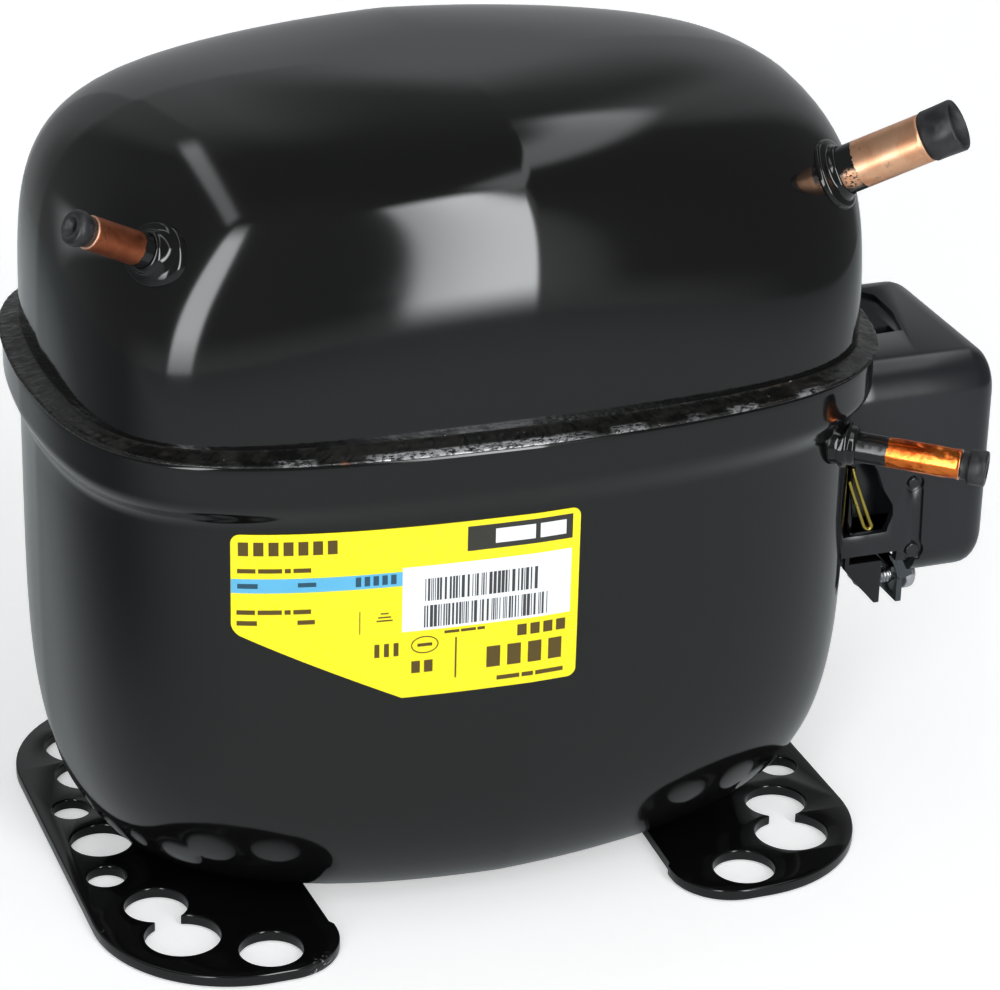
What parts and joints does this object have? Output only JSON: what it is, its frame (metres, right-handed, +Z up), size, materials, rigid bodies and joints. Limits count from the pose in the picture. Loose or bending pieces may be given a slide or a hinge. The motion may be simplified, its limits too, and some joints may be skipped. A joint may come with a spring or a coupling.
{
  "type": "hermetic reciprocating compressor",
  "caption": "Hermetic reciprocating refrigeration compressor: welded steel shell on foot plates with a sprung motor and pump inside, copper connection tubes and a terminal box.",
  "frame": {"origin": "under the middle of the bounding box, on the plane under the foot plates", "axes": "+X runs along the shell to the terminal box, +Y to the side away from the label, +Z up"},
  "size_m": [0.2544, 0.1542, 0.2092],
  "materials": {
    "black_paint": "gloss",
    "weld_bead": "rough gloss",
    "copper": "satin copper",
    "rubber": "matt",
    "label_film": "satin",
    "black_plastic": "satin",
    "bright_steel": "bright",
    "yellow_zinc": "yellow passivated",
    "cast_iron": "as cast",
    "winding": "varnished",
    "white_plastic": "matt",
    "gasket_sheet": "matt",
    "aluminium_alloy": "as cast",
    "bronze": "satin"
  },
  "bodies": {
    "housing": {"suction_collar": "black_paint", "suction_tube": "copper", "process_collar": "black_paint", "process_tube": "copper", "discharge_collar": "black_paint", "discharge_tube": "copper", "lower_shell": "black_paint", "upper_shell": "black_paint", "weld_seam": "weld_bead", "foot_plate_right": "black_paint", "foot_plate_left": "black_paint", "rating_label": "label_film", "terminal_cup": "bright_steel", "terminal_pin_1": "bright_steel", "terminal_pin_2": "bright_steel", "terminal_pin_3": "bright_steel", "lead_plug": "white_plastic", "terminal_bracket": "black_paint", "cord_clamp": "bright_steel", "start_relay": "black_plastic", "overload_protector": "black_plastic", "suspension_spring_1": "bright_steel", "spring_seat_1": "bright_steel", "suspension_spring_2": "bright_steel", "spring_seat_2": "bright_steel", "suspension_spring_3": "bright_steel", "spring_seat_3": "bright_steel", "suspension_spring_4": "bright_steel", "spring_seat_4": "bright_steel"},
    "pump": {"stator_core": "cast_iron", "winding_top": "winding", "winding_bottom": "winding", "cylinder_block": "cast_iron", "thrust_washer": "bronze", "cylinder_gasket": "gasket_sheet", "valve_plate": "bright_steel", "head_gasket": "gasket_sheet", "cylinder_head": "cast_iron", "head_bolt_1": "bright_steel", "head_bolt_2": "bright_steel", "head_bolt_3": "bright_steel", "head_bolt_4": "bright_steel", "suction_muffler": "white_plastic", "discharge_loop": "copper"},
    "crank": {"crankshaft": "bright_steel", "rotor": "bright_steel", "counterweight": "cast_iron", "oil_pickup": "bright_steel"},
    "rod": {"connecting_rod": "aluminium_alloy"},
    "piston": {"piston": "bright_steel", "wrist_pin": "bright_steel"},
    "suction_reed": {"suction_reed": "bright_steel"},
    "discharge_reed": {"discharge_reed": "bright_steel"},
    "cover": {"terminal_cover": "black_plastic"},
    "clip": {"cover_clip": "yellow_zinc"},
    "suction_plug": {"suction_plug": "rubber"},
    "process_plug": {"process_plug": "rubber"},
    "discharge_plug": {"discharge_plug": "rubber"},
    "clamp_screw": {"clamp_screw": "bright_steel"},
    "earth_screw": {"earth_screw": "bright_steel"}
  },
  "joints": [
    {"name": "pump_float", "type": "slide", "parent": "housing", "child": "pump", "axis": [0, 0, 1], "range_m": [-0.003, 0.003], "stiffness_N_per_m": 20000, "springref_m": 0.00407, "deforming": ["suspension_spring_1", "suspension_spring_2", "suspension_spring_3", "suspension_spring_4"]},
    {"name": "crank_turn", "type": "hinge", "parent": "pump", "child": "crank", "pos_m": [-0.01875, 0.00113, 0.12], "axis": [0, 0, 1], "range_deg": [-30, 30]},
    {"name": "rod_pivot", "type": "hinge", "parent": "crank", "child": "rod", "pos_m": [-0.01875, 0.01213, 0.15], "axis": [0, 0, 1], "range_deg": [-30, 30]},
    {"name": "piston_stroke", "type": "slide", "parent": "pump", "child": "piston", "axis": [1, 0, 0], "range_m": [-0.0056, 0.0056]},
    {"name": "suction_reed_bend", "type": "hinge", "parent": "pump", "child": "suction_reed", "pos_m": [0.04565, -0.00487, 0.1625], "axis": [0, 1, 0], "range_deg": [0, 5], "stiffness_Nm_per_rad": 0.05},
    {"name": "discharge_reed_bend", "type": "hinge", "parent": "pump", "child": "discharge_reed", "pos_m": [0.04965, 0.00713, 0.1625], "axis": [0, -1, 0], "range_deg": [0, 6], "stiffness_Nm_per_rad": 0.05},
    {"name": "cover_slide", "type": "slide", "parent": "housing", "child": "cover", "axis": [1, 0, 0], "range_m": [0, 0.06]},
    {"name": "clip_swing", "type": "hinge", "parent": "housing", "child": "clip", "pos_m": [0.08645, -0.02527, 0.0948], "axis": [-1, 0, 0], "range_deg": [0, 40]},
    {"name": "suction_plug_slide", "type": "slide", "parent": "housing", "child": "suction_plug", "axis": [0.7055, -0.5126, 0.4894], "range_m": [0, 0.02]},
    {"name": "process_plug_slide", "type": "slide", "parent": "housing", "child": "process_plug", "axis": [-0.8397, -0.2728, 0.4695], "range_m": [0, 0.02]},
    {"name": "discharge_plug_slide", "type": "slide", "parent": "housing", "child": "discharge_plug", "axis": [0.8152, -0.5772, -0.0489], "range_m": [0, 0.02]},
    {"name": "clamp_screw_turn", "type": "hinge", "parent": "housing", "child": "clamp_screw", "pos_m": [0.10125, -0.01537, 0.057], "axis": [1, 0, 0], "continuous": true},
    {"name": "earth_screw_turn", "type": "hinge", "parent": "housing", "child": "earth_screw", "pos_m": [0.08725, -0.01587, 0.112], "axis": [1, 0, 0], "continuous": true}
  ],
  "couplings": [
    {"joint": "rod_pivot", "follows": "crank_turn", "ratio": -1},
    {"joint": "piston_stroke", "follows": "crank_turn", "m_per_rad": -0.0105}
  ]
}
